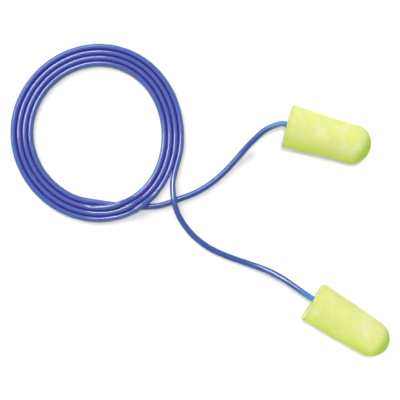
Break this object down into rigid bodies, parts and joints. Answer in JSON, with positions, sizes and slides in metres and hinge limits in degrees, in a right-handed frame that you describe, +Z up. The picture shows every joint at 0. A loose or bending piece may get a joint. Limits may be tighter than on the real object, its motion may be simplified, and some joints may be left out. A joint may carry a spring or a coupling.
{
  "type": "corded foam ear plugs",
  "caption": "Tapered, round-tipped foam ear plugs joined by a thin vinyl cord, lying flat with the cord wound into a loose coil.",
  "frame": {"origin": "on the surface that the plugs lie on, at the middle of the box round the two plugs", "axes": "+Z up from the surface, +Y from the lower plug towards the upper plug, +X the way both tips point; the coil lies towards -X"},
  "size_m": [0.1109, 0.0907, 0.0123],
  "materials": {
    "foam": "matte",
    "adhesive": "gloss",
    "cord": "gloss"
  },
  "bodies": {
    "cord": {"cord_coil": "cord", "upper_cord_tail": "cord", "lower_cord_tail": "cord"},
    "upper_plug_set": {"upper_plug": "foam", "upper_cord_bond": "adhesive", "upper_cord_end": "cord"},
    "lower_plug_set": {"lower_plug": "foam", "lower_cord_bond": "adhesive", "lower_cord_end": "cord"}
  },
  "joints": [
    {"name": "upper_plug_swing", "type": "hinge", "parent": "cord", "child": "upper_plug_set", "pos_m": [-0.01979, 0.02937, 0.00523], "axis": [0, 0, 1], "range_deg": [-45, 45]},
    {"name": "lower_plug_swing", "type": "hinge", "parent": "cord", "child": "lower_plug_set", "pos_m": [-0.01147, -0.01645, 0.00523], "axis": [0, 0, 1], "range_deg": [-45, 45]}
  ]
}
